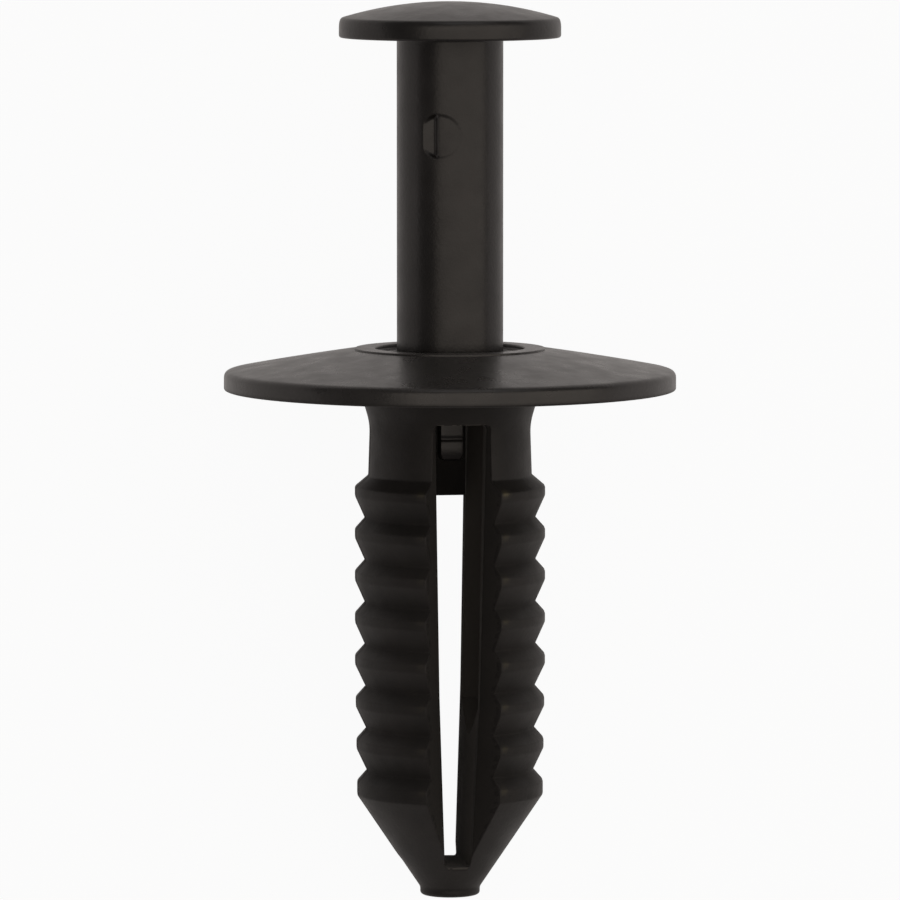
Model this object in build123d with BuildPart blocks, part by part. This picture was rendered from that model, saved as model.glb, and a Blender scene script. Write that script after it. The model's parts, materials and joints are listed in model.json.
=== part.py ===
from build123d import *
import os
from math import asin, atan2, cos, degrees, radians, sin, sqrt, tan

# A two-piece plastic push rivet, in millimetres: a flanged sleeve with ribbed legs and the pin that is
# driven into it. Heights along the rivet's axis are measured from the plane of the flange's underside,
# positive towards the pin's head. The rivet lies on a flat surface: on its flange's rim and on the
# slot's two edges at the last rib.

# Flange
flange_diameter = 20.0
flange_rim = 0.8
flange_rim_chamfer = 0.2
flange_crown = 0.03
hub_height = 1.85
hub_diameter = 8.4
hub_step = 0.06
hub_recess_diameter = 6.6
hub_recess_depth = 0.22
seat_ring_width = 0.8
underside_dish = 0.3
flange_root_height = 1.5
flange_root_flare = 0.45

# Neck and ribbed legs
neck_length = 3.8
neck_diameter = 7.1
neck_draft = 0.075
rib_count = 8
straight_rib_count = 5
rib_pitch = 1.875
rib_diameter = 8.43
rib_depth = 0.445
rib_land = 0.38
last_rib_land = 0.575
rib_upper_flank = 0.5
rib_taper = 0.03

# Lead-in and tip
lead_in_length = 4.16
tip_diameter = 2.65
tip_land = 0.375
tip_chamfer = 0.25
tip_web = 1.465

# Slot between the legs
slot_top = 1.31
slot_top_width = 2.29
slot_knee = 13.4
slot_knee_width = 1.8
slot_end_width = 1.18
slot_top_round = 0.25
slot_end_round = 0.12
slot_flank_angle = 35.0
slot_flank_apex = 1.47

# Pin
pin_travel = 13.63
seated_gap = 0.07
pin_head_diameter = 9.8
pin_head_rim = 0.84
pin_head_dome = 0.75
pin_head_chamfer = 0.3
shaft_diameter = 4.7
shoulder_depth = 0.2
shoulder_length = 1.25
shoulder_tip_diameter = 1.7
nose_floor_gap = 2.74
nose_pad_width = 1.0
nose_pad_reach = 0.62
nose_pad_round = 0.25
nose_wedge_length = 1.6
nose_wedge_reach = 0.3
nose_wedge_end_reach = 0.1
ejector_mark_diameter = 1.85
ejector_mark_depth = 0.24
ejector_mark_height = 11.3
ejector_mark_angle = 20.0

# Clearances between pin and sleeve
shaft_clearance = 0.1
shoulder_clearance = 0.15
nose_clearance = 0.05
bore_lead = 0.2

# Radii and heights that follow from the sizes above
flange_radius = flange_diameter / 2
hub_radius = hub_diameter / 2
hub_recess_radius = hub_recess_diameter / 2
hub_recess_floor = hub_height - hub_recess_depth
neck_radius = neck_diameter / 2
rib_radius = rib_diameter / 2
tip_radius = tip_diameter / 2
pin_head_radius = pin_head_diameter / 2
shaft_radius = shaft_diameter / 2
bore_radius = shaft_radius + shaft_clearance
shoulder_tip_radius = shoulder_tip_diameter / 2
bore_tip_radius = shoulder_tip_radius + shaft_clearance

first_land = neck_length + rib_upper_flank
last_land_end = first_land + (rib_count - 1) * rib_pitch + last_rib_land
lead_in_end = last_land_end + lead_in_length
sleeve_depth = lead_in_end + tip_land
slot_end = sleeve_depth - tip_web

head_underside = hub_height + seated_gap + pin_travel
head_rim_top = head_underside + pin_head_rim
head_apex = head_rim_top + pin_head_dome
dome_radius = (pin_head_radius**2 + pin_head_dome**2) / (2 * pin_head_dome)
dome_centre = head_apex - dome_radius
dome_edge_radius = pin_head_radius - pin_head_chamfer
dome_edge = dome_centre + sqrt(dome_radius**2 - dome_edge_radius**2)
dome_angle = degrees(asin(dome_edge_radius / dome_radius))

shoulder_end = shoulder_depth + shoulder_length
nose_end = slot_end - nose_floor_gap - pin_travel
nose_pad_end = nose_end - nose_wedge_length
bore_straight_end = shoulder_depth + pin_travel + shoulder_clearance
bore_cone_end = shoulder_end + pin_travel + shoulder_clearance


def rib_crest(index):
    """Crest radius of one rib, counted from the flange: the last few are a little smaller."""
    return rib_radius - rib_taper * max(0, index - straight_rib_count + 1)


def slot_half_width(depth):
    """Half the slot's width at a depth below the flange: its walls draw together, faster below the knee."""
    if depth < slot_knee:
        share = (depth - slot_top) / (slot_knee - slot_top)
        return (slot_top_width + (slot_knee_width - slot_top_width) * share) / 2
    share = (depth - slot_knee) / (slot_end - slot_knee)
    return (slot_knee_width + (slot_end_width - slot_knee_width) * share) / 2


def slot_edge_reach(radius):
    """Distance from the slot's middle plane of the edge where a flank meets a round of this radius."""
    slope = tan(radians(slot_flank_angle))
    root = sqrt((1 + slope**2) * radius**2 - (slope * slot_flank_apex) ** 2)
    return (slope**2 * slot_flank_apex + root) / (1 + slope**2)


# The nose passes down the narrowing slot to its full travel
nose_half_width = slot_half_width(nose_end + pin_travel) - nose_clearance

# How the rivet lies: the flange's lower edge and the slot's edges at the last rib touch the surface
last_crest = rib_crest(rib_count - 1)
edge_reach = slot_edge_reach(last_crest)
lie_angle = atan2(flange_radius - edge_reach, last_land_end)
along = cos(lie_angle)
rise = sin(lie_angle)
seat_height = flange_radius * along

# The rivet is centred on the surface between the head's furthest point and the tip's
head_reach = dome_edge * along + dome_edge_radius * rise
tip_reach = sleeve_depth * along + (tip_radius - tip_chamfer) * rise
seat_centre = Vector(0, (tip_reach - head_reach) / 2, seat_height)

axis_direction = Vector(0, along, rise)
slot_normal = Vector(0, -rise, along)
profile_plane = Plane(origin=seat_centre, x_dir=(1, 0, 0), z_dir=slot_normal)
slot_plane = Plane(origin=seat_centre, x_dir=slot_normal, z_dir=(-1, 0, 0))
cross_plane = Plane(origin=seat_centre, x_dir=(1, 0, 0), z_dir=axis_direction)
rivet_axis = Axis(seat_centre, axis_direction)

# Flanged sleeve: one moulding of flange, neck and two ribbed legs that meet at the tip
leg_outline = [
    (0, -sleeve_depth),
    (tip_radius - tip_chamfer, -sleeve_depth),
    (tip_radius, tip_chamfer - sleeve_depth),
    (tip_radius, -lead_in_end),
]
for index in reversed(range(rib_count)):
    crest = rib_crest(index)
    land_top = first_land + index * rib_pitch
    land = last_rib_land if index == rib_count - 1 else rib_land
    flank_top_radius = crest - rib_depth if index else neck_radius + neck_draft
    leg_outline.append((crest, -land_top - land))
    leg_outline.append((crest, -land_top))
    leg_outline.append((flank_top_radius, -land_top + rib_upper_flank))

# The neck flares at its root into the shallow dish of the flange's underside
leg_outline.append((neck_radius, -flange_root_height))
leg_outline.append((neck_radius + flange_root_flare, 0))
leg_outline.append((neck_radius + 2 * flange_root_flare, underside_dish))
leg_outline.append((flange_radius - seat_ring_width, 0))
leg_outline.append((flange_radius, 0))
leg_outline.append((flange_radius, flange_rim - flange_rim_chamfer))

hub_foot = (hub_radius, hub_height - hub_step)
crown_slope = (hub_height - hub_step - flange_rim) / (flange_radius - hub_radius)
crown_edge = (flange_radius - flange_rim_chamfer, flange_rim + crown_slope * flange_rim_chamfer)
leg_outline.append(crown_edge)

bore_outline = [
    hub_foot,
    (hub_radius, hub_height),
    (hub_recess_radius, hub_height),
    (hub_recess_radius, hub_recess_floor),
    (bore_radius + bore_lead, hub_recess_floor),
    (bore_radius, hub_recess_floor - bore_lead),
    (bore_radius, -bore_straight_end),
    (bore_tip_radius, -bore_cone_end),
    (0, -bore_cone_end),
    (0, -sleeve_depth),
]

with BuildPart() as flanged_sleeve:
    with BuildSketch(profile_plane):
        with BuildLine():
            Polyline(*leg_outline)
            SagittaArc(crown_edge, hub_foot, -flange_crown)
            Polyline(*bore_outline)
        make_face()
    revolve(axis=rivet_axis)

    # The slot goes right through, wider at the neck than at the tip
    with BuildSketch(profile_plane) as slot_face:
        with BuildLine():
            Polyline(
                (-slot_top_width / 2, -slot_top),
                (slot_top_width / 2, -slot_top),
                (slot_knee_width / 2, -slot_knee),
                (slot_end_width / 2, -slot_end),
                (-slot_end_width / 2, -slot_end),
                (-slot_knee_width / 2, -slot_knee),
                close=True,
            )
        make_face()
        fillet(slot_face.vertices().group_by(Axis.Y)[-1], slot_top_round)
        fillet(slot_face.vertices().group_by(Axis.Y)[0], slot_end_round)
    extrude(amount=rib_diameter, both=True, mode=Mode.SUBTRACT)

    # Each mouth of the slot is flared, so that the ribs end in slanted faces
    with BuildSketch(cross_plane.offset(-slot_end)):
        flare_half_width = (rib_diameter - slot_flank_apex) * tan(radians(slot_flank_angle))
        with BuildLine():
            Polyline(
                (0, slot_flank_apex),
                (flare_half_width, rib_diameter),
                (-flare_half_width, rib_diameter),
                close=True,
            )
        make_face()
        mirror(about=Plane.XZ)
    extrude(amount=slot_end - slot_top - slot_top_round, mode=Mode.SUBTRACT)

# Push pin: domed head, shaft, shoulder and the nose that waits in the top of the slot
with BuildPart() as push_pin:
    with BuildSketch(profile_plane):
        with BuildLine():
            CenterArc((0, dome_centre), dome_radius, 90 - dome_angle, dome_angle)
            Polyline(
                (dome_edge_radius, dome_edge),
                (pin_head_radius, head_rim_top - pin_head_chamfer),
                (pin_head_radius, head_underside),
                (shaft_radius, head_underside),
                (shaft_radius, -shoulder_depth),
                (shoulder_tip_radius, -shoulder_end),
                (0, -shoulder_end),
                (0, head_apex),
            )
        make_face()
    revolve(axis=rivet_axis)

    # The nose is a flat bar out of the shoulder, which narrows at its end to a wedge
    with BuildSketch(slot_plane):
        with BuildLine():
            Polyline(
                (0, -shoulder_depth),
                (nose_wedge_reach, -shoulder_depth),
                (nose_wedge_reach, -nose_pad_end),
                (nose_wedge_end_reach, -nose_end),
                (0, -nose_end),
                close=True,
            )
        make_face()
        mirror(about=Plane.YZ)
    extrude(amount=nose_half_width, both=True)

    # A pad with round lower corners stands out on the bar's front and back
    with BuildSketch(profile_plane) as pad_face:
        with Locations((0, -(shoulder_depth + nose_pad_end) / 2)):
            Rectangle(nose_pad_width, nose_pad_end - shoulder_depth)
        fillet(pad_face.vertices().group_by(Axis.Y)[0], nose_pad_round)
    extrude(amount=nose_pad_reach, both=True)

    # A shallow round mark on the shaft, where the mould's ejector pushed
    mark_turn = radians(ejector_mark_angle)
    mark_direction = slot_normal * cos(mark_turn) - Vector(1, 0, 0) * sin(mark_turn)
    mark_centre = seat_centre + axis_direction * ejector_mark_height
    mark_floor = mark_centre + mark_direction * (shaft_radius - ejector_mark_depth)
    with BuildSketch(Plane(origin=mark_floor, x_dir=axis_direction, z_dir=mark_direction)):
        Circle(ejector_mark_diameter / 2)
    extrude(amount=shaft_radius, mode=Mode.SUBTRACT)

os.makedirs("parts", exist_ok=True)
flanged_sleeve.part.label = "flanged_sleeve"
push_pin.part.label = "push_pin"
export_step(flanged_sleeve.part, "parts/flanged_sleeve.step")
export_step(push_pin.part, "parts/push_pin.step")
print(f"lie angle {degrees(lie_angle):.3f} deg, seat centre {seat_centre.Y:.4f}, {seat_centre.Z:.4f}")
print(f"nose end {nose_end:.3f}, sleeve depth {sleeve_depth:.3f}, head apex {head_apex:.3f}")
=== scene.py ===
"""Looks of a plastic push rivet: a black moulded nylon sleeve and pin that lie on a pale studio floor."""

import json
import logging
from dataclasses import dataclass, field
from enum import Enum
from typing import Any

import bmesh
import bpy
import numpy as np
from mathutils import Matrix


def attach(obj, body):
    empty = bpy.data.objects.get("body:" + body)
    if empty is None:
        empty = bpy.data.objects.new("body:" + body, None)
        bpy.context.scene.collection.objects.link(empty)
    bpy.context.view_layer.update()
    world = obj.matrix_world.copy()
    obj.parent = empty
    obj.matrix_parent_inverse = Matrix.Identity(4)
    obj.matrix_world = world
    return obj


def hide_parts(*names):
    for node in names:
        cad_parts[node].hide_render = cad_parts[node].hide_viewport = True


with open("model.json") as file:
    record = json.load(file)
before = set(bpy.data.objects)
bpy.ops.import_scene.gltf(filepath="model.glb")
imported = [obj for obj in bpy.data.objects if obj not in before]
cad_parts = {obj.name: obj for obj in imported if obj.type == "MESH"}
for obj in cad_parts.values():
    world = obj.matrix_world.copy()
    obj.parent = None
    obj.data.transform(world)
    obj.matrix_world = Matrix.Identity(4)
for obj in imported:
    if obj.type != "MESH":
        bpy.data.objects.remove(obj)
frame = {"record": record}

LOG = logging.getLogger("push_rivet")
MM = 0.001

# Points closer than this are welded, and edges that turn by more than this angle are shaded sharp
WELD_MM = 0.0015
SMOOTH_ANGLE_DEG = 34.0

# Length that counts as none
TINY_MM = 1e-6

# Largest share of a side that one rounded corner takes, and how near even points come to a corner's
SIDE_SHARE = 0.48
NEAR_STEP_SHARE = 0.4

# The left legs' share of the painted highlights on the right ones, which face the lamp
LEFT_GLINT_SHARE = 0.3

Array = np.ndarray


class Quarter(Enum):
    """The four quarters of the sleeve's round, as mirror signs across it and towards its front."""

    FRONT_RIGHT = (1.0, 1.0)
    FRONT_LEFT = (-1.0, 1.0)
    BACK_LEFT = (-1.0, -1.0)
    BACK_RIGHT = (1.0, -1.0)


class RaySeen(Enum):
    """Kinds of ray for which the floor is whitened: the Light Path output that tells them, and how far."""

    CAMERA = ("Is Camera Ray", 0.95)
    GLOSSY = ("Is Glossy Ray", 0.36)
    TRANSMISSION = ("Is Transmission Ray", 0.95)


def linear_colour(hex_code: str) -> tuple[float, float, float, float]:
    """Turn an sRGB hex value into linear colour, by the sRGB transfer curve.

    Args:
        hex_code: Six hex digits after a hash sign.

    Returns:
        Linear red, green and blue, with an alpha of 1.
    """
    srgb = np.array([int(hex_code[start : start + 2], 16) for start in (1, 3, 5)]) / 255
    linear = np.where(srgb <= 0.04045, srgb / 12.92, ((srgb + 0.055) / 1.055) ** 2.4)
    return (*linear.tolist(), 1.0)


def ease(share: Array) -> Array:
    """Smooth step from 0 to 1: 3 t squared less 2 t cubed, with t held between 0 and 1."""
    held = np.clip(share, 0.0, 1.0)
    return held * held * (3.0 - 2.0 * held)


def bezier(start: Array, control: Array, end: Array, count: int) -> Array:
    """Quadratic curve from start to end that leaves and arrives along the lines to the control point.

    Args:
        start: First points, with the coordinates on the last axis.
        control: Corner points that the curve rounds.
        end: Last points.
        count: Points on each curve, both ends included.

    Returns:
        Points of the curves, with the curve's own axis before the coordinates.
    """
    share = np.linspace(0.0, 1.0, count)[:, None]
    first, middle, last = (part[..., None, :] for part in (start, control, end))
    return first * (1 - share) ** 2 + middle * 2 * share * (1 - share) + last * share**2


def rounded_outline(corners: Array, setbacks: Array, step: float, arc_points: int = 6) -> Array:
    """Carry a line through corners, each rounded by a quadratic curve that starts one setback before it.

    Args:
        corners: Radius and height of each corner, in millimetres.
        setbacks: Length of rounding on each side of each corner, zero for a sharp one.
        step: Longest distance between two points of the result.
        arc_points: Points on each rounded corner.

    Returns:
        Radius and height of the points along the outline.
    """
    runs = np.diff(corners, axis=0)
    lengths = np.linalg.norm(runs, axis=1)
    directions = runs / lengths[:, None]
    before = corners[1:-1] - directions[:-1] * np.minimum(setbacks, SIDE_SHARE * lengths[:-1])[:, None]
    after = corners[1:-1] + directions[1:] * np.minimum(setbacks, SIDE_SHARE * lengths[1:])[:, None]
    curves = bezier(before, corners[1:-1], after, arc_points).reshape(-1, 2)
    line = np.concatenate([corners[:1], curves, corners[-1:]])
    gaps = np.linalg.norm(np.diff(line, axis=0), axis=1)
    line = line[np.concatenate([[True], gaps > TINY_MM])]
    travelled = np.concatenate([[0.0], np.cumsum(np.linalg.norm(np.diff(line, axis=0), axis=1))])
    even = np.arange(step, travelled[-1], step)
    far = np.abs(even[:, None] - travelled[None, :]).min(axis=1) > NEAR_STEP_SHARE * step
    stations = np.sort(np.concatenate([travelled, even[far]]))
    return np.stack([np.interp(stations, travelled, line[:, axis]) for axis in (0, 1)], axis=-1)


@dataclass(frozen=True)
class RivetAxes:
    """The rivet's own directions in the shared frame: across, out of the slot's front, and along its axis."""

    seat: Array
    across: Array
    front: Array
    along: Array

    @classmethod
    def from_record(cls, record: dict[str, Any]) -> "RivetAxes":
        """Read the seat's middle and the axis from the panel hole's mount.

        Args:
            record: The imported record.

        Returns:
            The rivet's directions, with the seat's middle in metres.
        """
        mount = next(item for item in record["mounts"] if item["name"] == "panel_hole")
        along = -np.array(mount["axis"])
        along = along / np.linalg.norm(along)
        across = np.array([1.0, 0.0, 0.0])
        return cls(np.array(mount["pos_m"]), across, np.cross(across, along), along)

    def direction(self, local: Array) -> Array:
        """Turn a direction given as across, front and along into the shared frame."""
        return np.stack([self.across, self.front, self.along]).T @ np.asarray(local, float)

    def place(self, local: Array) -> Array:
        """Turn points in the rivet's own millimetres into metres in the shared frame.

        Args:
            local: Points as across, front and along, on the last axis.

        Returns:
            Points in metres.
        """
        return self.seat + local * MM @ np.stack([self.across, self.front, self.along])


@dataclass
class Moulding:
    """Patches of one moulding, gathered as points and four-sided faces and welded into one closed mesh."""

    points: list[Array] = field(default_factory=list)
    faces: list[Array] = field(default_factory=list)
    mattness: list[Array] = field(default_factory=list)
    painted_glint: list[Array] = field(default_factory=list)
    count: int = 0

    def add_grid(
        self, grid: Array, mattness: Array | float, painted_glint: Array | float = 0.0, turned: bool = False,
        keep: Array | None = None,
    ) -> None:
        """Add a grid of points as a patch.

        Args:
            grid: Points with rows and columns on the first two axes.
            mattness: How matt the mould left each point, from 0 for satin to 1 for dull.
            painted_glint: How strongly a painted highlight lightens each point's colour, from 0 to 1.
            turned: Whether the faces run the other way round.
            keep: Which faces to keep, one flag for each, or all of them.
        """
        rows, columns = grid.shape[:2]
        index = np.arange(rows * columns).reshape(rows, columns) + self.count
        quads = np.stack([index[:-1, :-1], index[1:, :-1], index[1:, 1:], index[:-1, 1:]], axis=-1)
        quads = quads[keep] if keep is not None else quads.reshape(-1, 4)
        self.points.append(grid.reshape(-1, 3))
        self.faces.append(quads[:, ::-1] if turned else quads)
        self.mattness.append(np.broadcast_to(mattness, (rows, columns)).ravel())
        self.painted_glint.append(np.broadcast_to(painted_glint, (rows, columns)).ravel())
        self.count += rows * columns

    def add_quarters(self, grid: Array, mattness: Array | float, painted_glint: Array | float = 0.0) -> None:
        """Add a patch of the front right quarter and its three mirror images.

        Args:
            grid: Points with rows and columns on the first two axes.
            mattness: How matt the mould left each point.
            painted_glint: How strongly a painted highlight lightens each point on the right, while the left
                gets less of it.
        """
        for quarter in Quarter:
            signs = np.array([*quarter.value, 1.0])
            glint_amount = painted_glint if quarter.value[0] > 0 else painted_glint * LEFT_GLINT_SHARE
            self.add_grid(grid * signs, mattness, glint_amount, turned=bool(signs.prod() < 0))

    def to_object(self, name: str, axes: RivetAxes) -> bpy.types.Object:
        """Weld the patches into one closed mesh with its faces pointing outwards.

        Args:
            name: Name of the piece.
            axes: The rivet's directions, which put the mesh in its place.

        Returns:
            The new object, linked to the scene.
        """
        mesh = bpy.data.meshes.new(name)
        placed = axes.place(np.concatenate(self.points))
        mesh.from_pydata(placed.tolist(), [], np.concatenate(self.faces).tolist())
        for attribute, values in ((MouldedNylon.MATTNESS, self.mattness), (MouldedNylon.PAINTED_GLINT, self.painted_glint)):
            layer = mesh.attributes.new(attribute, "FLOAT", "POINT")
            layer.data.foreach_set("value", np.concatenate(values).astype(np.float32))
        work = bmesh.new()
        work.from_mesh(mesh)
        bmesh.ops.remove_doubles(work, verts=work.verts, dist=WELD_MM * MM)
        bmesh.ops.recalc_face_normals(work, faces=work.faces)
        open_edges = sum(not edge.is_manifold for edge in work.edges)
        work.to_mesh(mesh)
        work.free()
        mesh.polygons.foreach_set("use_smooth", np.ones(len(mesh.polygons), bool))
        mesh.set_sharp_from_angle(angle=np.radians(SMOOTH_ANGLE_DEG))
        piece = bpy.data.objects.new(name, mesh)
        bpy.context.scene.collection.objects.link(piece)
        LOG.info("%s: %d faces, %d open edges", name, len(mesh.polygons), open_edges)
        return piece


@dataclass
class FlangedSleeve:
    """The sleeve: flange, neck and two ribbed legs that meet at the tip, in one moulding.

    Sizes are in millimetres. Heights run along the axis from the flange's seat, positive towards the pin's
    head, and depths run the other way.
    """

    flange_radius: float = 10.0
    flange_rim: float = 0.8
    flange_crown: float = 0.03
    hub_height: float = 1.85
    hub_radius: float = 4.2
    hub_step: float = 0.06
    recess_radius: float = 3.3
    recess_depth: float = 0.22
    bore_radius: float = 2.45
    bore_lead: float = 0.2
    bore_straight_end: float = 13.98
    bore_cone_end: float = 15.23
    bore_tip_radius: float = 0.95
    seat_ring_width: float = 0.8
    underside_dish: float = 0.3
    root_height: float = 1.5
    root_flare: float = 0.45
    neck_length: float = 3.8
    neck_radius: float = 3.55
    neck_draft: float = 0.075
    rib_count: int = 8
    straight_rib_count: int = 5
    rib_pitch: float = 1.875
    rib_radius: float = 4.215
    rib_depth: float = 0.445
    rib_land: float = 0.38
    last_rib_land: float = 0.575
    rib_upper_flank: float = 0.5
    rib_taper: float = 0.03
    lead_in_length: float = 4.16
    tip_radius: float = 1.325
    tip_land: float = 0.375
    tip_web: float = 1.465
    slot_top: float = 1.31
    slot_top_half: float = 1.145
    slot_knee: float = 13.4
    slot_knee_half: float = 0.9
    slot_end_half: float = 0.59
    slot_top_round: float = 0.25
    slot_end_round: float = 0.12
    slot_flank_angle: float = 35.0
    slot_flank_apex: float = 1.47

    # Rounding of the moulded edges, as setbacks
    rim_round: float = 0.26
    seat_round: float = 0.1
    hub_round: float = 0.03
    bore_lead_round: float = 0.05
    recess_round: float = 0.08
    crown_round: float = 0.05
    seat_ring_round: float = 0.2
    dish_round: float = 0.3
    root_round: float = 0.45
    crest_round: float = 0.07
    valley_round: float = 0.08
    lead_in_round: float = 0.1
    tip_round: float = 0.3
    slot_edge_round: float = 0.035
    slot_flank_round: float = 0.012
    slot_fold_share: float = 0.4
    edge_fade: float = 0.5

    # A fine groove round the foot of the hub
    hub_groove_width: float = 0.12
    hub_groove_depth: float = 0.05

    # The mould's parting line: a low ridge down the outside of both legs
    flash_height: float = 0.035
    flash_half_width: float = 0.07

    # How matt the mould left each face, between satin at 0 and dull at 1, and the way from crown to bore
    crown_mattness: float = 0.02
    leg_mattness: float = 0.36
    valley_mattness: float = 0.5
    flank_mattness: float = 0.56
    inside_mattness: float = 1.0
    crown_fade: float = 0.2

    # Painted highlights on the crests beside the slot, which stand in for the lamp's glints on their corners:
    # their place from the slot's edge and from the crest's upper corner, their reach, and how strong they are
    # after the first rib
    glint_place: float = 0.2
    glint_drop: float = 0.06
    glint_width: float = 0.16
    glint_height: float = 0.1
    later_glint: float = 0.3

    # Points across each run of the surface, and distances between its rows
    leg_columns: int = 26
    slot_columns: int = 10
    corner_columns: int = 5
    wall_columns: int = 5
    crown_rows: int = 10
    corner_rows: int = 8
    cone_rows: int = 9
    outline_step: float = 0.22
    least_step: float = 0.004

    @property
    def crest_depths(self) -> Array:
        """Depth of each rib's upper corner."""
        return self.neck_length + self.rib_upper_flank + self.rib_pitch * np.arange(self.rib_count)

    @property
    def lead_in_start(self) -> float:
        """Depth where the last rib's crest ends and the lead-in cone starts."""
        return float(self.crest_depths[-1]) + self.last_rib_land

    @property
    def column_shares(self) -> Array:
        """Places of the leg's columns from its side to the slot's edge, closest together at both ends."""
        share = np.linspace(0.0, 1.0, self.leg_columns)
        end = 0.5 * np.minimum(2 * share, 2 - 2 * share) ** 1.5
        return np.where(share < 0.5, end, 1.0 - end)

    @property
    def depth(self) -> float:
        """Depth of the tip's end."""
        return self.lead_in_start + self.lead_in_length + self.tip_land

    @property
    def slot_end(self) -> float:
        """Depth of the slot's floor."""
        return self.depth - self.tip_web

    def collar_corners(self) -> tuple[list[tuple[float, float]], list[float]]:
        """Give the corners from the bore over the hub, crown, rim and seat to the neck, with their setbacks.

        The crown is the straight line from rim to hub's foot, raised by a parabola to its sagitta, and it
        starts outside the groove round the hub.

        Returns:
            Corners as radius and height, and the setback of each.
        """
        recess_floor = self.hub_height - self.recess_depth
        hub_foot = self.hub_height - self.hub_step
        crown_width = self.flange_radius - self.hub_radius
        share = np.linspace(self.hub_groove_width / crown_width, 1.0, self.crown_rows + 1)[:-1]
        crown_radius = self.hub_radius + crown_width * share
        crown_height = hub_foot + (self.flange_rim - hub_foot) * share
        crown_height = crown_height + 4 * self.flange_crown * share * (1 - share)
        rows = [
            (self.bore_radius, -self.slot_top, 0.0),
            (self.bore_radius, recess_floor - self.bore_lead, self.bore_lead_round),
            (self.bore_radius + self.bore_lead, recess_floor, self.bore_lead_round),
            (self.recess_radius, recess_floor, self.recess_round),
            (self.recess_radius, self.hub_height, self.recess_round),
            (self.hub_radius, self.hub_height, self.hub_round),
            (self.hub_radius, hub_foot - self.hub_groove_depth, self.hub_round),
            *zip(crown_radius, crown_height, np.full(self.crown_rows, self.crown_round)),
            (self.flange_radius, self.flange_rim, self.rim_round),
            (self.flange_radius, 0.0, self.seat_round),
            (self.flange_radius - self.seat_ring_width, 0.0, self.seat_ring_round),
            (self.neck_radius + 2 * self.root_flare, self.underside_dish, self.dish_round),
            (self.neck_radius + self.root_flare, 0.0, self.dish_round),
            (self.neck_radius, -self.root_height, self.root_round),
        ]
        return [row[:2] for row in rows], [row[2] for row in rows]

    def leg_corners(self) -> tuple[list[tuple[float, float]], list[float]]:
        """Give the corners of the ribs, the lead-in cone and the tip, with their setbacks.

        Returns:
            Corners as radius and height, and the setback of each.
        """
        corners, setbacks = [], []
        for index, top in enumerate(self.crest_depths.tolist()):
            crest = self.rib_radius - self.rib_taper * max(0, index - self.straight_rib_count + 1)
            root = crest - self.rib_depth if index else self.neck_radius + self.neck_draft
            land = self.last_rib_land if index == self.rib_count - 1 else self.rib_land
            corners += [(root, self.rib_upper_flank - top), (crest, -top), (crest, -top - land)]
            setbacks += [self.valley_round, self.crest_round, self.crest_round]
        lead_in_end = self.lead_in_start + self.lead_in_length
        corners += [(self.tip_radius, -lead_in_end), (self.tip_radius, -self.depth), (0.0, -self.depth)]
        setbacks += [self.lead_in_round, self.tip_round, 0.0]
        return corners, setbacks

    def outlines(self) -> tuple[Array, Array, Array]:
        """Round the whole outline and part it at the slot's top and at the slot's floor.

        Returns:
            Outlines of the collar, of the legs and of the tip, each as radius and height.
        """
        collar_corners, collar_setbacks = self.collar_corners()
        leg_corners, leg_setbacks = self.leg_corners()
        corners = np.array(collar_corners + leg_corners)
        setbacks = np.array(collar_setbacks + leg_setbacks)[1:-1]
        line = rounded_outline(corners, setbacks, self.outline_step)
        on_rim = line[:, 0] > self.flange_radius - self.seat_ring_width + self.seat_ring_round
        outer = np.argmax(line[:, 1] == line[on_rim, 1].min())
        below = line[outer:]
        depth = -below[:, 1]
        start = np.flatnonzero(depth > self.slot_top)[0]
        parts = np.array([self.slot_top, self.slot_end])
        cut = np.stack([np.interp(parts, depth[start - 1 :], below[start - 1 :, 0]), -parts], axis=-1)
        middle = (depth > self.slot_top) & (depth < self.slot_end)
        collar = np.concatenate([line[:outer], below[:start], cut[:1]])
        legs = np.concatenate([cut[:1], below[middle], cut[1:]])
        tip = np.concatenate([cut[1:], below[depth > self.slot_end]])
        return collar, legs, tip

    def slot_half(self, depth: Array) -> Array:
        """Half the slot's width at each depth: walls that draw together, faster below the knee, with an arc
        of a circle in each corner of the slot's top and floor.

        Args:
            depth: Depths below the seat.

        Returns:
            Half widths.
        """
        ends = [self.slot_top + self.slot_top_round, self.slot_end - self.slot_end_round]
        held = np.clip(depth, *ends)
        wall = np.interp(
            held,
            [self.slot_top, self.slot_knee, self.slot_end],
            [self.slot_top_half, self.slot_knee_half, self.slot_end_half],
        )
        past_floor = np.clip(depth - ends[1], 0.0, self.slot_end_round)
        floor = self.slot_end_round - np.sqrt(self.slot_end_round**2 - past_floor**2)
        return wall - self.top_corner(depth) - floor

    def top_corner(self, depth: Array) -> Array:
        """How far the round corner of the slot's top stands in from the wall at each depth."""
        past = np.clip(self.slot_top + self.slot_top_round - depth, 0.0, self.slot_top_round)
        return self.slot_top_round - np.sqrt(self.slot_top_round**2 - past**2)

    def leg_levels(self, outline: Array) -> tuple[Array, Array]:
        """Choose the depths at which the legs are cut across: those of the outline, and closer ones where
        the slot's corners turn and where the bore closes.

        Args:
            outline: Radius and height of the legs' outside.

        Returns:
            Depths and outer radii.
        """
        turn = 1 - np.cos(np.linspace(0.0, np.pi / 2, self.corner_rows))
        depth = np.concatenate([
            -outline[:, 1],
            self.slot_top + self.slot_top_round * turn,
            self.slot_end - self.slot_end_round * turn,
            np.linspace(self.bore_straight_end, self.bore_cone_end, self.cone_rows),
            [self.slot_knee],
        ])
        depth = np.unique(np.clip(depth, self.slot_top, self.slot_end))
        apart = np.concatenate([[True], np.diff(depth) > self.least_step])
        depth = depth[apart]
        depth[-1] = self.slot_end
        return depth, np.interp(depth, -outline[:, 1], outline[:, 0])

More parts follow.
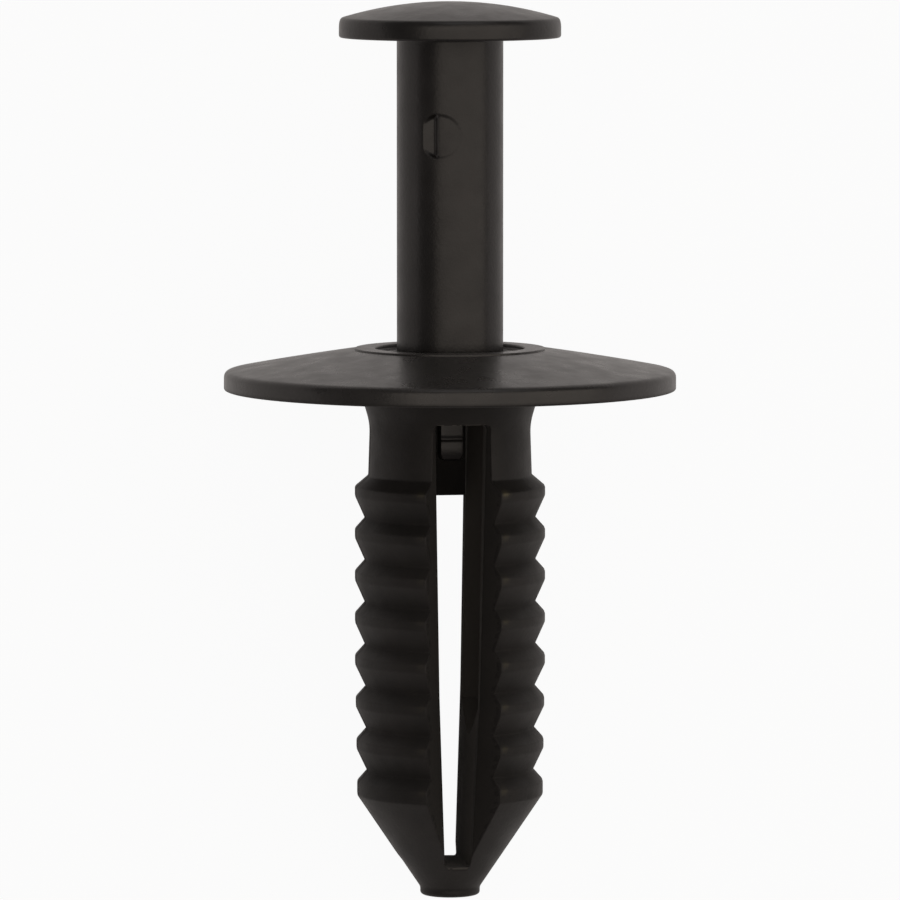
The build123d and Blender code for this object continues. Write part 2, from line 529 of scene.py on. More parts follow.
    def leg_quarter(self, depth: Array, radius: Array) -> Array:
        """Cut a leg across at each depth, in the front right quarter: round its outside from the side to the
        slot's edge, along the slanted flank and the slot's wall, and round the bore back to the side.

        The flank is the line that leaves the slot's middle plane at the apex and opens by the flank angle.
        Where it would fall inside the slot, its two ends are one point.

        Args:
            depth: Depths below the seat.
            radius: Outer radius at each depth.

        Returns:
            Points with depths on the first axis and the path round the leg on the second.
        """
        half = self.slot_half(depth)
        bore = np.interp(
            depth,
            [self.bore_straight_end, self.bore_cone_end, self.bore_cone_end + TINY_MM],
            [self.bore_radius, self.bore_tip_radius, 0.0],
        )
        slope = np.tan(np.radians(self.slot_flank_angle))
        pull = slope * self.slot_flank_apex
        reach = (slope * pull + np.sqrt((1 + slope**2) * radius**2 - pull**2)) / (1 + slope**2)
        edge_x = np.maximum(slope * (reach - self.slot_flank_apex) - self.top_corner(depth), half)
        edge_y = np.sqrt(radius**2 - edge_x**2)
        fold_y = np.minimum(self.slot_flank_apex + half / slope, edge_y)
        mouth_y = np.sqrt(np.maximum(bore**2 - half**2, 0.0))
        edge = np.stack([edge_x, edge_y], axis=-1)
        fold = np.stack([half, fold_y], axis=-1)
        flank = np.linalg.norm(edge - fold, axis=-1)
        wall = fold_y - mouth_y

        def along_wall(travelled: Array) -> Array:
            """Go from the slot's edge down the flank and then the wall.

            Args:
                travelled: Distance gone at each depth.

            Returns:
                Points as across and front.
            """
            share = np.clip(travelled / np.maximum(flank, TINY_MM), 0.0, 1.0)
            point = edge + (fold - edge) * share[:, None]
            return point - np.stack([np.zeros_like(flank), np.maximum(travelled - flank, 0.0)], axis=-1)

        def run(first: Array, last: Array, count: int) -> Array:
            """Give even points along flank and wall between two distances from the slot's edge."""
            shares = np.linspace(0.0, 1.0, count)
            return np.stack([along_wall(first + (last - first) * share) for share in shares], axis=1)

        fade = np.minimum(depth - self.slot_top, self.slot_end - depth) / self.edge_fade
        rounding = self.slot_edge_round * ease(fade)
        before = np.maximum(rounding, flank - self.slot_flank_round)
        after = np.maximum(rounding, flank + np.minimum(self.slot_flank_round, self.slot_fold_share * wall))
        edge_angle = np.arctan2(edge_y, edge_x) - rounding / radius
        spread = self.column_shares
        angles = edge_angle[:, None] * spread
        flash = self.flash_height * np.exp(-((angles * radius[:, None] / self.flash_half_width) ** 2))
        flash = flash * ease(fade)[:, None]
        outer = (radius[:, None] + flash)[..., None] * np.stack([np.cos(angles), np.sin(angles)], axis=-1)
        mouth_angles = np.arctan2(mouth_y, half)[:, None] * spread[::-1]
        inner = np.maximum(bore, half)[:, None, None]
        inner = inner * np.stack([np.cos(mouth_angles), np.sin(mouth_angles)], axis=-1)
        path = np.concatenate([
            outer,
            bezier(outer[:, -1], edge, along_wall(rounding), self.corner_columns),
            run(rounding, before, self.wall_columns),
            bezier(
                along_wall(before), along_wall(np.maximum(rounding, flank)), along_wall(after),
                self.corner_columns,
            ),
            run(after, flank + wall, self.wall_columns),
            inner,
        ], axis=1)
        height = np.broadcast_to(-depth[:, None, None], (*path.shape[:2], 1))
        return np.concatenate([path, height], axis=-1)

    def round_quarter(self, outline: Array, edge_angles: Array) -> Array:
        """Turn an outline through the front right quarter.

        Args:
            outline: Radius and height of each row.
            edge_angles: Angle of the slot's edge in each row, where the columns of leg and slot meet.

        Returns:
            Points with the outline on the first axis and the angle on the second.
        """
        spread = self.column_shares
        across_slot = np.linspace(0.0, 1.0, self.slot_columns + 1)[1:]
        beside = edge_angles[:, None] * spread
        above = edge_angles[:, None] + (np.pi / 2 - edge_angles[:, None]) * across_slot
        angles = np.concatenate([beside, above], axis=1)
        radius, height = outline[:, :1], outline[:, 1:]
        ring = np.stack([np.cos(angles) * radius, np.sin(angles) * radius], axis=-1)
        return np.concatenate([ring, np.broadcast_to(height[..., None], (*angles.shape, 1))], axis=-1)

    def slot_cap(self, wall: Array, outer: Array, inner: Array) -> Array:
        """Close the slot's top or floor: lines from the outside inwards, bent as the wall is beside them.

        Args:
            wall: Points down the leg's own wall at that depth.
            outer: Points across the slot's mouth, from the wall to the middle.
            inner: Points across the slot's inner end, from the wall to the middle.

        Returns:
            Points with the way inwards on the first axis and the way across on the second.
        """
        share = (wall[0, 1] - wall[:, 1]) / (wall[0, 1] - wall[-1, 1])
        lines = outer + (inner - outer) * share[:, None, None]
        fade = np.linspace(1.0, 0.0, len(outer))
        return lines + (wall - lines[:, 0])[:, None] * fade[:, None]

    def corner_glints(self, depth: Array, leg: Array) -> Array:
        """Paint highlights on the crests beside the slot, most on the first rib: glint spots that fade as a
        bell curve along the axis and along the crest.

        Args:
            depth: Depth of each row.
            leg: The leg's points.

        Returns:
            Painted highlight of each point, from 0 to 1.
        """
        strength = np.where(np.arange(self.rib_count) == 0, 1.0, self.later_glint)
        drop = depth[:, None] - self.crest_depths - self.glint_drop
        along = np.exp(-((drop / self.glint_height) ** 2)) @ strength
        edge = self.leg_columns - 1
        away = np.linalg.norm(leg[..., :2] - leg[:, edge : edge + 1, :2], axis=-1)
        across = np.exp(-(((away - self.glint_place) / self.glint_width) ** 2))
        return along[:, None] * across * (np.arange(leg.shape[1]) <= edge)

    def rib_mattness(self, depth: Array, radius: Array) -> Array:
        """Give the legs' outside its mattness, which rises from the crests into the valleys between them.

        Args:
            depth: Depth of each row.
            radius: Outer radius of each row.

        Returns:
            Mattness of each row.
        """
        sunk = np.clip((self.rib_radius - radius) / self.rib_depth, 0.0, 1.0)
        ribbed = (depth > self.crest_depths[0]) & (depth < self.lead_in_start)
        return self.leg_mattness + (self.valley_mattness - self.leg_mattness) * sunk * ribbed

    def build(self, axes: RivetAxes) -> bpy.types.Object:
        """Build the sleeve's quarters and weld them.

        Args:
            axes: The rivet's directions.

        Returns:
            The sleeve's object.
        """
        collar, legs, tip = self.outlines()
        depth, radius = self.leg_levels(legs)
        leg = self.leg_quarter(depth, radius)
        half = self.slot_half(depth)
        edge = self.leg_columns - 1
        edge_angles = np.arctan2(leg[:, edge, 1], leg[:, edge, 0])
        blend = np.linspace(0.0, 1.0, len(collar))
        mouth_angle = np.arccos(half[0] / self.bore_radius)
        collar_grid = self.round_quarter(collar, mouth_angle + (edge_angles[0] - mouth_angle) * blend)
        tip_grid = self.round_quarter(tip, np.full(len(tip), edge_angles[-1]))
        across = half[-1] * np.linspace(1.0, 0.0, self.slot_columns + 1)
        middle = np.stack([across, 0.0 * across, np.full_like(across, -self.slot_end)], axis=-1)
        mouth = leg.shape[1] - self.leg_columns
        top = self.slot_cap(leg[0, edge : mouth + 1], collar_grid[-1, edge:], collar_grid[0, edge:])
        floor = self.slot_cap(leg[-1, edge : mouth + 1], tip_grid[0, edge:], middle)
        column = np.arange(leg.shape[1])
        flank = edge + self.corner_columns
        wall = flank + self.wall_columns + self.corner_columns + 1
        outside = self.rib_mattness(depth, radius)[:, None]
        walls = np.where(column <= wall, self.flank_mattness, self.inside_mattness)
        moulding = Moulding()
        moulding.add_quarters(collar_grid, self.collar_mattness(collar)[:, None])
        # The legs carry painted highlights (glints) on the crests beside the slot
        moulding.add_quarters(leg, np.where(column <= flank, outside, walls), self.corner_glints(depth, leg))
        moulding.add_quarters(tip_grid, self.leg_mattness)
        inside = np.where(np.arange(len(top)) == 0, self.leg_mattness, self.inside_mattness)[:, None]
        moulding.add_quarters(top, inside)
        moulding.add_quarters(floor, inside)
        return moulding.to_object("sleeve_moulding", axes)

    def collar_mattness(self, outline: Array) -> Array:
        """Give the collar its mattness: satin on crown and rim, as on the legs below them, dull in the bore.

        Args:
            outline: Radius and height of the collar's points.

        Returns:
            Mattness of each point.
        """
        radius, height = outline.T
        beyond_bore = radius - self.bore_radius - self.bore_lead
        crown = ease(beyond_bore / self.crown_fade) * ease(height / self.crown_fade)
        outside = self.leg_mattness + (self.crown_mattness - self.leg_mattness) * crown
        return np.where(radius <= self.bore_radius + self.least_step, self.inside_mattness, outside)


@dataclass
class PushPin:
    """The pin: domed head, shaft, shoulder and nose, in one moulding. Sizes are in millimetres, and heights
    run along the axis from the flange's seat, positive towards the head."""

    head_radius: float = 4.9
    head_underside: float = 15.55
    head_rim: float = 0.84
    head_dome: float = 0.75
    shaft_radius: float = 2.35
    shoulder_start: float = -0.2
    shoulder_end: float = -1.45
    nose_end: float = -4.70
    shoulder_tip_radius: float = 0.85
    nose_half_width: float = 0.65
    mark_radius: float = 0.925
    mark_height: float = 11.3
    mark_angle: float = 110.0

    # Rounding of the moulded edges, as setbacks
    dome_round: float = 0.1
    head_round: float = 0.42
    underside_round: float = 0.13
    shaft_root_round: float = 0.16
    shoulder_round: float = 0.12
    nose_round: float = 0.2

    # The nose's blend into the shoulder, its flat pads in front and behind, a groove across them, and the
    # wedge below them
    nose_blend: float = 0.1
    flat_reach: float = 0.62
    flat_end: float = -3.1
    pad_half_width: float = 0.54
    pad_corner: float = 0.25
    wedge_reach: float = 0.3
    wedge_end_reach: float = 0.1
    groove_height: float = -2.16
    groove_half_width: float = 0.1
    groove_depth: float = 0.05
    pad_edge: float = 0.12
    pad_bulge_height: float = -2.5
    pad_bulge: float = 0.12

    # The ejector mark's floor: a shallow round, and beyond a step a facet that rises to the rim
    mark_wall: float = 0.1
    mark_floor_depth: float = 0.03
    mark_step_place: float = 0.18
    mark_step_width: float = 0.26
    mark_facet_low: float = 2.1
    mark_facet_slope: float = 0.2

    # How matt the mould left the shaft and nose, between satin at 0 and dull at 1, and the ways between them
    shaft_mattness: float = 0.06
    pad_mattness: float = 0.1
    wedge_mattness: float = 0.5
    head_fade: float = 0.2
    pad_fade: float = 0.22

    # Points round the pin and along it, in the window for the mark and in the mark, and the rows' distances
    columns: int = 144
    dome_rows: int = 15
    nose_rows: int = 90
    window_columns: int = 12
    window_half_height: float = 1.25
    window_rows: int = 23
    ring_rows: int = 5
    wall_rows: int = 6
    floor_rows: int = 25
    outline_step: float = 0.3
    least_step: float = 0.02
    end_margin: float = 0.25

    def outline(self) -> Array:
        """Carry the pin's outline from the top of its dome to the middle of its nose. The dome is an arc of
        a circle over the head's width.

        Returns:
            Radius and height of each point.
        """
        rim_top = self.head_underside + self.head_rim
        dome = (self.head_radius**2 + self.head_dome**2) / (2 * self.head_dome)
        dome_radius = np.linspace(0.0, self.head_radius, self.dome_rows + 1)
        dome_height = rim_top + self.head_dome - dome + np.sqrt(dome**2 - dome_radius**2)
        rows = [
            *zip(dome_radius[:-1], dome_height[:-1], np.full(self.dome_rows, self.dome_round)),
            (self.head_radius, rim_top, self.head_round),
            (self.head_radius, self.head_underside, self.underside_round),
            (self.shaft_radius, self.head_underside, self.shaft_root_round),
            (self.shaft_radius, self.shoulder_start, self.shoulder_round),
            (self.shoulder_tip_radius, self.shoulder_end, self.shoulder_round),
            (self.shoulder_tip_radius, self.nose_end, self.nose_round),
            (0.0, self.nose_end, 0.0),
        ]
        corners = np.array([row[:2] for row in rows])
        line = rounded_outline(corners, np.array([row[2] for row in rows])[1:-1], self.outline_step)
        window = self.mark_height + self.window_half_height * np.linspace(1.0, -1.0, self.window_rows)
        nose_start, nose_stop = self.shoulder_end - self.nose_blend, self.nose_end + self.outline_step
        height = np.concatenate([window, np.linspace(nose_start, nose_stop, self.nose_rows)])
        highest, lowest = self.head_underside - self.outline_step, self.nose_end + self.end_margin
        near = np.abs(line[:, 1][:, None] - height[None, :]).min(axis=1) < self.least_step
        near |= np.abs(line[:, 1] - self.mark_height) < self.window_half_height
        line = line[~(near & (line[:, 1] < highest) & (line[:, 1] > lowest))]
        start = np.flatnonzero(line[:, 1] < highest)[0] - 1
        stop = np.flatnonzero(line[:, 1] < lowest)[0] + 1
        run = line[start:stop]
        heights = np.sort(np.concatenate([run[:, 1], height]))[::-1]
        radii = np.interp(-heights, -run[:, 1], run[:, 0])
        return np.concatenate([line[:start], np.stack([radii, heights], axis=-1), line[stop:]])

    def nose_bar(self, points: Array) -> Array:
        """Cut the round nose to a flat bar: points below the shoulder are held to its half width and to a
        reach in front and behind. The reach is a wedge's, and a pad's where the pad covers the wedge. The
        pad's lower corners are arcs of a circle.

        Args:
            points: The pin's points.

        Returns:
            The same points with the nose cut.
        """
        height = points[..., 2]
        above = self.head_radius * ease((height - self.shoulder_end) / self.nose_blend + 1.0)
        half = self.nose_half_width + above
        beside = np.clip(points[..., 0], -half, half)
        groove = np.exp(-(((height - self.groove_height) / self.groove_half_width) ** 2))
        below = np.clip((self.pad_bulge_height - height) / (self.pad_bulge_height - self.flat_end), 0.0, 1.0)
        flat = self.flat_reach - self.groove_depth * groove - self.pad_bulge * below**2
        share = np.clip((height - self.flat_end) / (self.nose_end - self.flat_end), 0.0, 1.0)
        wedge = self.wedge_reach + (self.wedge_end_reach - self.wedge_reach) * share
        low = np.clip(self.flat_end + self.pad_corner - height, 0.0, self.pad_corner)
        pad_half = self.pad_half_width - self.pad_corner + np.sqrt(self.pad_corner**2 - low**2)
        covered = ease((pad_half - np.abs(beside)) / self.pad_edge + 0.5)
        covered = covered * ease((height - self.flat_end) / self.pad_edge + 0.5)
        reach = wedge + (flat - wedge) * covered + above
        cut = points.copy()
        cut[..., 0] = beside
        cut[..., 1] = np.clip(points[..., 1], -reach, reach)
        return cut

    def mattness(self, points: Array) -> Array:
        """Give points their mattness: satin on the dome, less so on the nose's pads, and matt on its wedge.

        Args:
            points: The pin's points.

        Returns:
            Mattness of each point.
        """
        height = points[..., 2]
        dome = ease((height - self.head_underside - 0.5 * self.head_rim) / self.head_fade)
        nose = ease((self.shoulder_end - height) / self.nose_blend)
        pad = ease((np.abs(points[..., 1]) - self.wedge_reach) / self.pad_fade)
        on_nose = self.wedge_mattness + (self.pad_mattness - self.wedge_mattness) * pad
        return self.shaft_mattness * (1 - dome) * (1 - nose) + on_nose * nose

    def mark_floor(self, beside: Array) -> Array:
        """Sink the mark's floor: a round inside the shaft's, then beyond a smooth step a slanted facet.

        Args:
            beside: Distances from the mark's middle round the shaft, measured straight.

        Returns:
            Distances of the floor from the axis.
        """
        past = beside - self.mark_step_place
        shallow = np.sqrt((self.shaft_radius - self.mark_floor_depth) ** 2 - beside**2)
        facet = self.mark_facet_low + self.mark_facet_slope * past
        return shallow + (facet - shallow) * ease(past / self.mark_step_width + 0.5)

    def mark_points(self, beside: Array, above: Array, depth_share: Array) -> Array:
        """Put points of the ejector mark in place, between the shaft's round and the mark's floor.

        Args:
            beside: Distances from the mark's middle round the shaft, measured straight.
            above: Distances from the mark's middle along the shaft.
            depth_share: Zero on the shaft's surface and one on the floor.

        Returns:
            Points as across, front and along.
        """
        shaft = np.sqrt(self.shaft_radius**2 - beside**2)
        out = shaft + (np.minimum(self.mark_floor(beside), shaft) - shaft) * depth_share
        turn = np.radians(self.mark_angle)
        x = out * np.cos(turn) - beside * np.sin(turn)
        y = out * np.sin(turn) + beside * np.cos(turn)
        return np.stack([x, y, above + self.mark_height], axis=-1)

    def add_mark(self, moulding: Moulding, beside: Array, above: Array) -> None:
        """Fill the window in the shaft: rings from the window's edge to the mark's rim, its wall, and a floor
        of straight columns.

        Args:
            moulding: The pin's patches.
            beside: Places of the window's columns round the shaft.
            above: Places of the window's rows along the shaft.
        """
        middle = len(above) // 2
        sides = [
            (np.full(middle, beside[-1]), above[middle:-1]),
            (beside[:0:-1], np.full(len(beside) - 1, above[-1])),
            (np.full(len(above) - 1, beside[0]), above[:0:-1]),
            (beside[:-1], np.full(len(beside) - 1, above[0])),
            (np.full(middle + 1, beside[-1]), above[: middle + 1]),
        ]
        loop_x = np.concatenate([side[0] for side in sides])
        loop_y = np.concatenate([side[1] for side in sides])
        angle = np.arctan2(loop_y, loop_x)
        rim = self.mark_radius + self.mark_wall
        share = np.linspace(0.0, 1.0, self.ring_rows)[:, None]
        around_x = loop_x + (rim * np.cos(angle) - loop_x) * share
        around_y = loop_y + (rim * np.sin(angle) - loop_y) * share
        fall = np.linspace(0.0, 1.0, self.wall_rows)[:, None]
        wall = rim - 2 * self.mark_wall * fall
        shares = np.broadcast_to(ease(fall), (len(fall), len(angle)))
        upper = angle[: len(angle) // 2 + 1]
        inner = self.mark_radius - self.mark_wall
        lines = np.linspace(-1.0, 1.0, self.floor_rows)[:, None]
        floor_x = np.broadcast_to(inner * np.cos(upper), (len(lines), len(upper)))
        floor_y = inner * np.sin(upper) * lines
        for patch in (
            (around_x, around_y, np.zeros_like(around_x)),
            (wall * np.cos(angle), wall * np.sin(angle), shares),
            (floor_x, floor_y, np.ones_like(floor_y)),
        ):
            moulding.add_grid(self.mark_points(*patch), self.shaft_mattness)

    def build(self, axes: RivetAxes) -> bpy.types.Object:
        """Turn the outline round the axis, leave a window for the ejector mark, and fill it.

        Args:
            axes: The rivet's directions.

        Returns:
            The pin's object.
        """
        outline = self.outline()
        turn = np.linspace(0.0, 2 * np.pi, self.columns + 1)
        ring = outline[:, :1, None] * np.stack([np.cos(turn), np.sin(turn)], axis=-1)
        height = np.broadcast_to(outline[:, 1:, None], (*ring.shape[:2], 1))
        grid = self.nose_bar(np.concatenate([ring, height], axis=-1))
        centre = round(self.mark_angle / 360 * self.columns)
        first, last = centre - self.window_columns, centre + self.window_columns
        window = self.window_half_height + TINY_MM
        rows = np.flatnonzero(np.abs(outline[:, 1] - self.mark_height) <= window)
        keep = np.ones((len(outline) - 1, self.columns), bool)
        keep[rows[0] : rows[-1], first:last] = False
        moulding = Moulding()
        moulding.add_grid(grid, self.mattness(grid), keep=keep)
        beside = self.shaft_radius * np.sin(turn[first : last + 1] - np.radians(self.mark_angle))
        self.add_mark(moulding, beside, outline[rows, 1][::-1] - self.mark_height)
        return moulding.to_object("pin_moulding", axes)


def add_node(tree: bpy.types.NodeTree, kind: str, settings: dict[str, Any] | None = None,
             sockets: dict[Any, Any] | None = None) -> bpy.types.Node:
    """Add a shader node, set it and link its inputs.

    Args:
        tree: Node tree that gets the node.
        kind: Blender's name for the node's class.
        settings: Properties of the node and their values.
        sockets: Inputs by name or place, each with a value or with the output that feeds it.

    Returns:
        The new node.
    """
    node = tree.nodes.new(kind)
    for name, value in (settings or {}).items():
        setattr(node, name, value)
    for key, value in (sockets or {}).items():
        if isinstance(value, bpy.types.NodeSocket):
            tree.links.new(value, node.inputs[key])
        else:
            node.inputs[key].default_value = value
    return node


@dataclass(frozen=True)
class MouldedNylon:
    """Black nylon, injection moulded in a spark-eroded mould: satin, very dark, a little brown, with soft
    mottling where the melt cooled unevenly, and painted highlights (glints) on a few corners.

    Mottling and ripples are as wide as on mouldings of this size. The mould's real grit, about 0.03 mm, is
    too fine to show, so the grain is drawn at 0.16 mm.
    """

    name: str
    colour: str = "#222120"
    mottle_colour: str = "#2a2827"
    # Colour of the painted highlights (glints) on the crests' corners
    painted_glint_colour: str = "#5c5643"
    dull_colour: str = "#565350"
    glint_colour: str = "#fffbfa"
    satin_roughness: float = 0.3
    dull_roughness: float = 0.85
    roughness_spread: float = 0.05
    ior: float = 1.53
    satin_specular: float = 0.46
    matt_specular: float = 0.08
    half_matt: float = 0.5
    sheen: float = 0.03
    sheen_roughness: float = 0.4
    mottle_mm: float = 2.6
    mottle_detail: float = 3.0
    mottle_range: tuple[float, float] = (0.35, 0.7)
    grain_mm: float = 0.16
    grain_detail: float = 2.0
    grain_strength: float = 0.6
    ripple_mm: float = 1.1
    ripple_detail: float = 2.0
    ripple_strength: float = 0.5
    ripple_range: tuple[float, float] = (0.3, 0.7)
    bump_height_mm: float = 0.012
    noise_roughness: float = 0.55

    PAINTED_GLINT = "painted_glint"
    MATTNESS = "mattness"

    def material(self) -> bpy.types.Material:
        """Build the finish as a node material on Object coordinates.

        Returns:
            The new material.
        """
        material = bpy.data.materials.new(self.name)
        material.use_nodes = True
        tree = material.node_tree
        tree.nodes.clear()
        place = add_node(tree, "ShaderNodeTexCoord").outputs["Object"]
        patterns = (
            (self.mottle_mm, self.mottle_detail),
            (self.grain_mm, self.grain_detail),
            (self.ripple_mm, self.ripple_detail),
        )
        mottle, grain, ripple = (
            add_node(tree, "ShaderNodeTexNoise", sockets={
                "Vector": place, "Scale": 1.0 / (size * MM), "Detail": detail,
                "Roughness": self.noise_roughness,
            }).outputs["Fac"]
            for size, detail in patterns
        )
        glint_amount, dull = (
            add_node(tree, "ShaderNodeAttribute", {"attribute_name": name}).outputs["Fac"]
            for name in (self.PAINTED_GLINT, self.MATTNESS)
        )
        spots = add_node(tree, "ShaderNodeMapRange", sockets={
            "Value": mottle, "From Min": self.mottle_range[0], "From Max": self.mottle_range[1],
        }).outputs["Result"]
        greyed = add_node(tree, "ShaderNodeMapRange", sockets={
            "Value": dull, "From Min": self.half_matt,
        }).outputs["Result"]
        colour = linear_colour(self.colour)
        # The last mix lays the painted highlights over the colour, where the mesh marks them
        for share, over in (
            (spots, self.mottle_colour), (greyed, self.dull_colour), (glint_amount, self.painted_glint_colour),
        ):
            colour = add_node(tree, "ShaderNodeMix", {"data_type": "RGBA"}, {
                0: share, 6: colour, 7: linear_colour(over),
            }).outputs[2]
        level = add_node(tree, "ShaderNodeMapRange", {"interpolation_type": "SMOOTHSTEP"}, {
            "Value": dull, "To Min": self.satin_roughness, "To Max": self.dull_roughness,
        }).outputs["Result"]
        shine = add_node(tree, "ShaderNodeMapRange", sockets={
            "Value": dull, "From Max": self.half_matt,
            "To Min": self.satin_specular, "To Max": self.matt_specular,
        }).outputs["Result"]
        change = add_node(tree, "ShaderNodeMapRange", sockets={
            "Value": ripple, "From Min": self.ripple_range[0], "From Max": self.ripple_range[1],
            "To Min": -self.roughness_spread, "To Max": self.roughness_spread,
        }).outputs["Result"]
        rough = add_node(tree, "ShaderNodeMath", {"operation": "ADD"}, {0: level, 1: change}).outputs[0]
        waves = add_node(tree, "ShaderNodeBump", sockets={
            "Height": ripple, "Strength": self.ripple_strength, "Distance": self.bump_height_mm * MM,
        }).outputs["Normal"]
        bump = add_node(tree, "ShaderNodeBump", sockets={
            "Height": grain, "Strength": self.grain_strength, "Distance": self.bump_height_mm * MM,
            "Normal": waves,
        }).outputs["Normal"]
        shader = add_node(tree, "ShaderNodeBsdfPrincipled", sockets={
            "Base Color": colour, "Roughness": rough, "IOR": self.ior,
            "Specular IOR Level": shine, "Specular Tint": linear_colour(self.glint_colour), "Normal": bump,
            "Sheen Weight": self.sheen, "Sheen Roughness": self.sheen_roughness,
            "Sheen Tint": linear_colour(self.glint_colour),
        })
        add_node(tree, "ShaderNodeOutputMaterial", sockets={"Surface": shader.outputs[0]})
        return material


@dataclass(frozen=True)
class Softbox:
    """A soft lamp that points at the rivet, placed by its direction from it: across, front and along."""

    name: str
    toward: tuple[float, float, float]
    distance: float
    width: float
    height: float
    watts: float
    colour: str

    def build(self, axes: RivetAxes) -> bpy.types.Object:
        """Hang the lamp in its place.

        Args:
            axes: The rivet's directions, which the lamp's own direction is given in.

        Returns:
            The lamp's object.
        """
        lamp = bpy.data.lights.new(self.name, "AREA")
        lamp.shape = "RECTANGLE"
        lamp.size = self.width
        lamp.size_y = self.height
        lamp.energy = self.watts
        lamp.color = linear_colour(self.colour)[:3]
        direction = axes.direction(np.array(self.toward))
        direction = direction / np.linalg.norm(direction)
        holder = bpy.data.objects.new(self.name, lamp)
        holder.matrix_world = facing(axes.seat + direction * self.distance, direction, axes.along)
        bpy.context.scene.collection.objects.link(holder)
        return holder


def facing(place: Array, backwards: Array, upwards: Array) -> Matrix:
    """Matrix of a camera or lamp that looks against one direction.

    Args:
        place: Where it stands.
        backwards: Unit direction from what it looks at to where it stands.
        upwards: Direction that should be upright in its view.

    Returns:
        The world matrix.
    """
    right = np.cross(upwards, backwards)
    right = right / np.linalg.norm(right)
    matrix = np.eye(4)
    matrix[:3, 0] = right
    matrix[:3, 1] = np.cross(backwards, right)
    matrix[:3, 2] = backwards
    matrix[:3, 3] = place
    return Matrix(matrix.tolist())


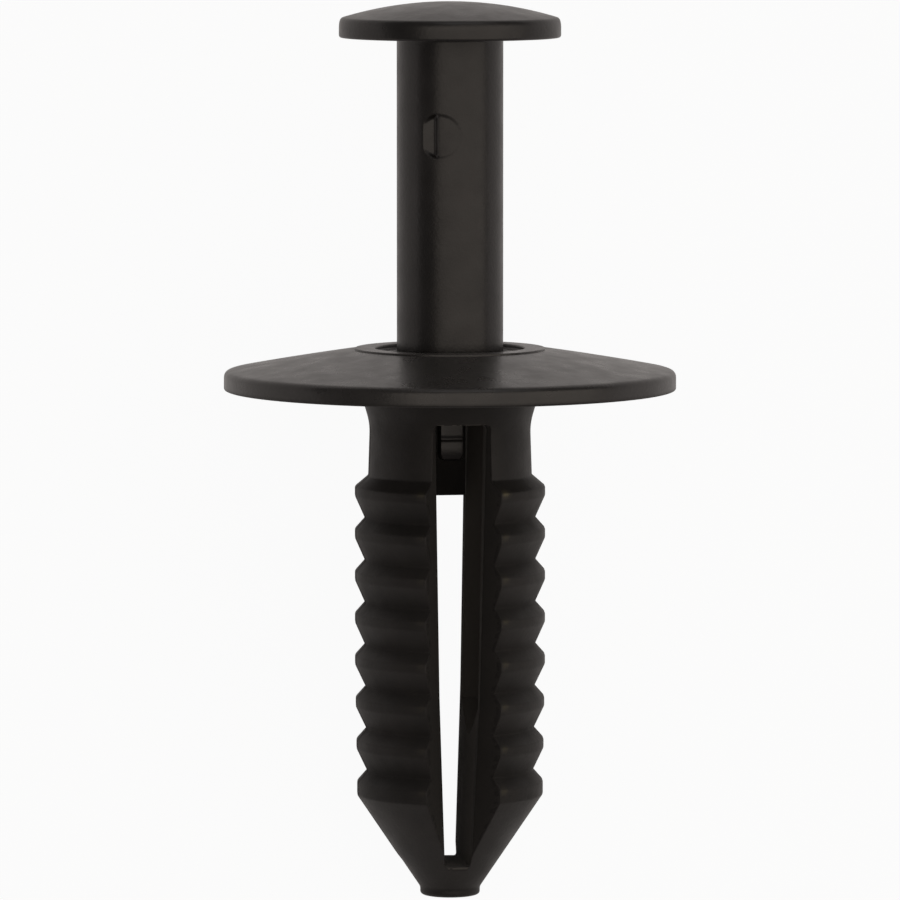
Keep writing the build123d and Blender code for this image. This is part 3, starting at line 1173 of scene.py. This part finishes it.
@dataclass
class Studio:
    """Pale floor, plain soft light and the camera at the photograph's angle. Lengths are in metres."""

    floor_half: float = 3.0
    floor_colour: str = "#dcdcdc"
    warm_white: str = "#fff8f6"
    world_horizon: float = 1.0
    world_top: float = 0.15
    horizon_range: tuple[float, float] = (0.02, 0.16)
    camera_distance: float = 0.355
    camera_height_mm: float = -2.7
    camera_turn_deg: float = 9.0
    camera_tilt_deg: float = 5.1
    camera_lens_mm: float = 320.8
    camera_sensor_mm: float = 36.0
    lamps: tuple[Softbox, ...] = (
        Softbox("front_right_lamp", (0.3, 0.95, 0.07), 0.42, 1.20, 0.36, 1.22, "#fff6ea"),
        Softbox("head_side_lamp", (0.1, 0.55, 1.0), 0.40, 0.30, 0.30, 0.15, "#ffffff"),
    )

    def floor(self) -> bpy.types.Object:
        """Lay the floor: nearly white to the camera, with a little of the shadow, and less so in reflections.

        Returns:
            The floor's object.
        """
        half = self.floor_half
        mesh = bpy.data.meshes.new("floor")
        corners = [(-half, -half, 0.0), (half, -half, 0.0), (half, half, 0.0), (-half, half, 0.0)]
        mesh.from_pydata(corners, [], [(0, 1, 2, 3)])
        material = bpy.data.materials.new("pale_studio_floor")
        material.use_nodes = True
        tree = material.node_tree
        tree.nodes.clear()
        rays = add_node(tree, "ShaderNodeLightPath")
        white = 0.0
        for kind in RaySeen:
            output, share = kind.value
            sockets = {0: rays.outputs[output], 1: share, 2: white}
            white = add_node(tree, "ShaderNodeMath", {"operation": "MULTIPLY_ADD"}, sockets).outputs[0]
        matt = add_node(tree, "ShaderNodeBsdfDiffuse", sockets={"Color": linear_colour(self.floor_colour)})
        tint = add_node(tree, "ShaderNodeMix", {"data_type": "RGBA"}, {
            0: rays.outputs[RaySeen.CAMERA.value[0]], 6: linear_colour(self.warm_white),
            7: linear_colour("#ffffff"),
        }).outputs[2]
        glow = add_node(tree, "ShaderNodeEmission", sockets={"Color": tint, "Strength": 1.0})
        mixed = add_node(tree, "ShaderNodeMixShader", sockets={
            0: white, 1: matt.outputs[0], 2: glow.outputs[0],
        })
        add_node(tree, "ShaderNodeOutputMaterial", sockets={"Surface": mixed.outputs[0]})
        mesh.materials.append(material)
        floor = bpy.data.objects.new("floor", mesh)
        bpy.context.scene.collection.objects.link(floor)
        return floor

    def world(self) -> None:
        """Light the room softly: bright round the horizon and dim overhead, where the camera stands."""
        world = bpy.data.worlds.new("studio")
        world.use_nodes = True
        tree = world.node_tree
        tree.nodes.clear()
        place = add_node(tree, "ShaderNodeTexCoord").outputs["Generated"]
        up = add_node(tree, "ShaderNodeSeparateXYZ", sockets={0: place}).outputs["Z"]
        level = add_node(tree, "ShaderNodeMapRange", {"interpolation_type": "SMOOTHSTEP"}, {
            "Value": up, "From Min": self.horizon_range[0], "From Max": self.horizon_range[1],
            "To Min": self.world_horizon, "To Max": self.world_top,
        }).outputs["Result"]
        sockets = {"Color": linear_colour(self.warm_white), "Strength": level}
        light = add_node(tree, "ShaderNodeBackground", sockets=sockets)
        add_node(tree, "ShaderNodeOutputWorld", sockets={"Surface": light.outputs[0]})
        bpy.context.scene.world = world

    def camera(self, axes: RivetAxes) -> None:
        """Stand the camera over the rivet's front, turned a little to its left and towards its head.

        Args:
            axes: The rivet's directions.
        """
        turn, tilt = np.radians(self.camera_turn_deg), np.radians(self.camera_tilt_deg)
        level = np.array([-np.sin(turn), np.cos(turn), 0.0]) * np.cos(tilt)
        backwards = axes.direction(level + np.array([0.0, 0.0, np.sin(tilt)]))
        aim = axes.place(np.array([0.0, 0.0, self.camera_height_mm]))
        data = bpy.data.cameras.new("camera")
        data.sensor_width = self.camera_sensor_mm
        data.lens = self.camera_lens_mm
        holder = bpy.data.objects.new("camera", data)
        holder.matrix_world = facing(aim + backwards * self.camera_distance, backwards, axes.along)
        bpy.context.scene.collection.objects.link(holder)
        bpy.context.scene.camera = holder

    def build(self, axes: RivetAxes) -> None:
        """Set up the floor, the light and the camera.

        Args:
            axes: The rivet's directions.
        """
        self.floor()
        self.world()
        self.camera(axes)
        for lamp in self.lamps:
            lamp.build(axes)
        bpy.context.scene.view_settings.view_transform = "Standard"


def dress(piece: bpy.types.Object, finish: MouldedNylon, body: str, node: str) -> None:
    """Give a piece its finish and let it stand for its solid.

    Args:
        piece: The piece's object.
        finish: Its finish.
        body: Body that it moves with.
        node: Solid that it stands for.
    """
    piece.data.materials.append(finish.material())
    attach(piece, body)
    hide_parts(node)
    LOG.info("%s moves with %s and stands for %s", piece.name, body, node)


def main() -> None:
    """Build the sleeve, the pin and the studio."""
    logging.basicConfig(level=logging.INFO, format="%(message)s")
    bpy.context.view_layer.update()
    axes = RivetAxes.from_record(frame["record"])
    sleeve_finish = MouldedNylon("sleeve_nylon_satin")
    pin_finish = MouldedNylon(
        "pin_nylon_satin", colour="#151413", mottle_colour="#1c1a19", satin_roughness=0.32
    )
    dress(FlangedSleeve().build(axes), sleeve_finish, "sleeve", "flanged_sleeve")
    dress(PushPin().build(axes), pin_finish, "pin", "push_pin")
    Studio().build(axes)


if __name__ == "__main__":
    main()
